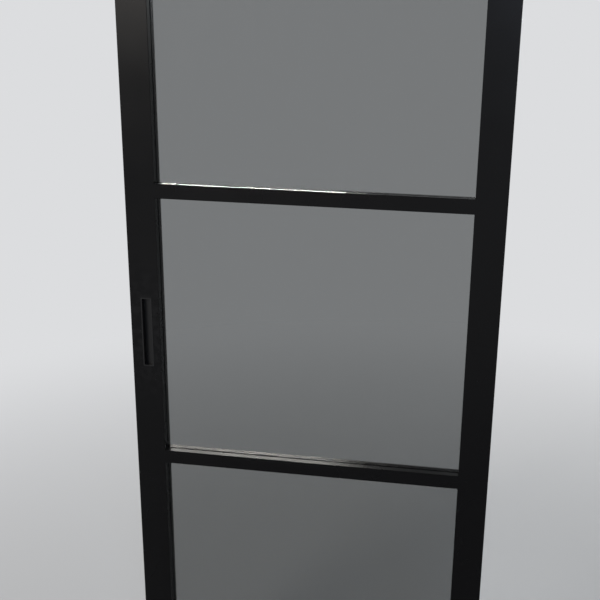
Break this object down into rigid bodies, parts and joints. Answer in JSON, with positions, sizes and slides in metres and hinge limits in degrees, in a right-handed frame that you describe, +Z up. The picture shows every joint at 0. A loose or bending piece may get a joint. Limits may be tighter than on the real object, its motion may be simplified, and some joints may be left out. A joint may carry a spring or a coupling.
{
  "type": "sliding glass door",
  "caption": "Black framed sliding door leaf with three stacked grey glass panes, cross bars and flush pulls, hung from a wall-mounted track with a floor guide.",
  "frame": {"origin": "on the floor, under the middle of the track, in the middle plane of the leaf", "axes": "+X along the wall to the right and the way the leaf opens, +Y into the wall, +Z up"},
  "size_m": [1.704, 0.06, 2.109],
  "materials": {
    "black_lacquer": "satin black lacquer",
    "grey_glass": "polished, grey tint",
    "glazing_tape": "matt",
    "setting_block": "matt",
    "black_pull": "satin powder coat",
    "coated_aluminium": "fine powder coat",
    "black_nylon": "moulded",
    "buffer_rubber": "moulded",
    "wheel_nylon": "moulded",
    "cast_zinc": "die cast",
    "zinc_steel": "zinc plated"
  },
  "bodies": {
    "track": {"track_rail": "coated_aluminium", "fascia": "coated_aluminium", "floor_guide": "black_nylon", "end_cap_left": "black_nylon", "end_cap_right": "black_nylon", "end_stop_left": "zinc_steel", "end_stop_right": "zinc_steel", "buffer_left": "buffer_rubber", "buffer_right": "buffer_rubber"},
    "leaf": {"stile_left": "black_lacquer", "stile_right": "black_lacquer", "rail_top": "black_lacquer", "rail_bottom": "black_lacquer", "bar_lower": "black_lacquer", "bar_upper": "black_lacquer", "pane_lower": "grey_glass", "pane_middle": "grey_glass", "pane_upper": "grey_glass", "tape_front_lower": "glazing_tape", "tape_front_middle": "glazing_tape", "tape_front_upper": "glazing_tape", "tape_back_lower": "glazing_tape", "tape_back_middle": "glazing_tape", "tape_back_upper": "glazing_tape", "bead_lower_bottom": "black_lacquer", "bead_lower_top": "black_lacquer", "bead_lower_left": "black_lacquer", "bead_lower_right": "black_lacquer", "bead_middle_bottom": "black_lacquer", "bead_middle_top": "black_lacquer", "bead_middle_left": "black_lacquer", "bead_middle_right": "black_lacquer", "bead_upper_bottom": "black_lacquer", "bead_upper_top": "black_lacquer", "bead_upper_left": "black_lacquer", "bead_upper_right": "black_lacquer", "setting_blocks": "setting_block", "pull_front": "black_pull", "pull_back": "black_pull", "hanger_bracket_left": "zinc_steel", "hanger_bracket_right": "zinc_steel", "hanger_bolt_left": "zinc_steel", "hanger_bolt_right": "zinc_steel", "lock_nut_left": "zinc_steel", "lock_nut_right": "zinc_steel", "carriage_left": "cast_zinc", "carriage_right": "cast_zinc", "axle_left_outer": "zinc_steel", "axle_left_inner": "zinc_steel", "axle_right_outer": "zinc_steel", "axle_right_inner": "zinc_steel"},
    "wheel_left_outer_front": {"wheel_left_outer_front": "wheel_nylon"},
    "wheel_left_outer_back": {"wheel_left_outer_back": "wheel_nylon"},
    "wheel_left_inner_front": {"wheel_left_inner_front": "wheel_nylon"},
    "wheel_left_inner_back": {"wheel_left_inner_back": "wheel_nylon"},
    "wheel_right_outer_front": {"wheel_right_outer_front": "wheel_nylon"},
    "wheel_right_outer_back": {"wheel_right_outer_back": "wheel_nylon"},
    "wheel_right_inner_front": {"wheel_right_inner_front": "wheel_nylon"},
    "wheel_right_inner_back": {"wheel_right_inner_back": "wheel_nylon"}
  },
  "joints": [
    {"name": "leaf_slide", "type": "slide", "parent": "track", "child": "leaf", "axis": [1, 0, 0], "range_m": [0, 0.775]},
    {"name": "wheel_left_outer_front_spin", "type": "hinge", "parent": "leaf", "child": "wheel_left_outer_front", "pos_m": [-0.751, -0.01, 2.053], "axis": [0, 1, 0], "continuous": true},
    {"name": "wheel_left_outer_back_spin", "type": "hinge", "parent": "leaf", "child": "wheel_left_outer_back", "pos_m": [-0.751, 0.01, 2.053], "axis": [0, 1, 0], "continuous": true},
    {"name": "wheel_left_inner_front_spin", "type": "hinge", "parent": "leaf", "child": "wheel_left_inner_front", "pos_m": [-0.709, -0.01, 2.053], "axis": [0, 1, 0], "continuous": true},
    {"name": "wheel_left_inner_back_spin", "type": "hinge", "parent": "leaf", "child": "wheel_left_inner_back", "pos_m": [-0.709, 0.01, 2.053], "axis": [0, 1, 0], "continuous": true},
    {"name": "wheel_right_outer_front_spin", "type": "hinge", "parent": "leaf", "child": "wheel_right_outer_front", "pos_m": [-0.121, -0.01, 2.053], "axis": [0, 1, 0], "continuous": true},
    {"name": "wheel_right_outer_back_spin", "type": "hinge", "parent": "leaf", "child": "wheel_right_outer_back", "pos_m": [-0.121, 0.01, 2.053], "axis": [0, 1, 0], "continuous": true},
    {"name": "wheel_right_inner_front_spin", "type": "hinge", "parent": "leaf", "child": "wheel_right_inner_front", "pos_m": [-0.079, -0.01, 2.053], "axis": [0, 1, 0], "continuous": true},
    {"name": "wheel_right_inner_back_spin", "type": "hinge", "parent": "leaf", "child": "wheel_right_inner_back", "pos_m": [-0.079, 0.01, 2.053], "axis": [0, 1, 0], "continuous": true}
  ],
  "couplings": [
    {"joint": "wheel_left_outer_front_spin", "follows": "leaf_slide", "rad_per_m": 83.333},
    {"joint": "wheel_left_outer_back_spin", "follows": "leaf_slide", "rad_per_m": 83.333},
    {"joint": "wheel_left_inner_front_spin", "follows": "leaf_slide", "rad_per_m": 83.333},
    {"joint": "wheel_left_inner_back_spin", "follows": "leaf_slide", "rad_per_m": 83.333},
    {"joint": "wheel_right_outer_front_spin", "follows": "leaf_slide", "rad_per_m": 83.333},
    {"joint": "wheel_right_outer_back_spin", "follows": "leaf_slide", "rad_per_m": 83.333},
    {"joint": "wheel_right_inner_front_spin", "follows": "leaf_slide", "rad_per_m": 83.333},
    {"joint": "wheel_right_inner_back_spin", "follows": "leaf_slide", "rad_per_m": 83.333}
  ]
}
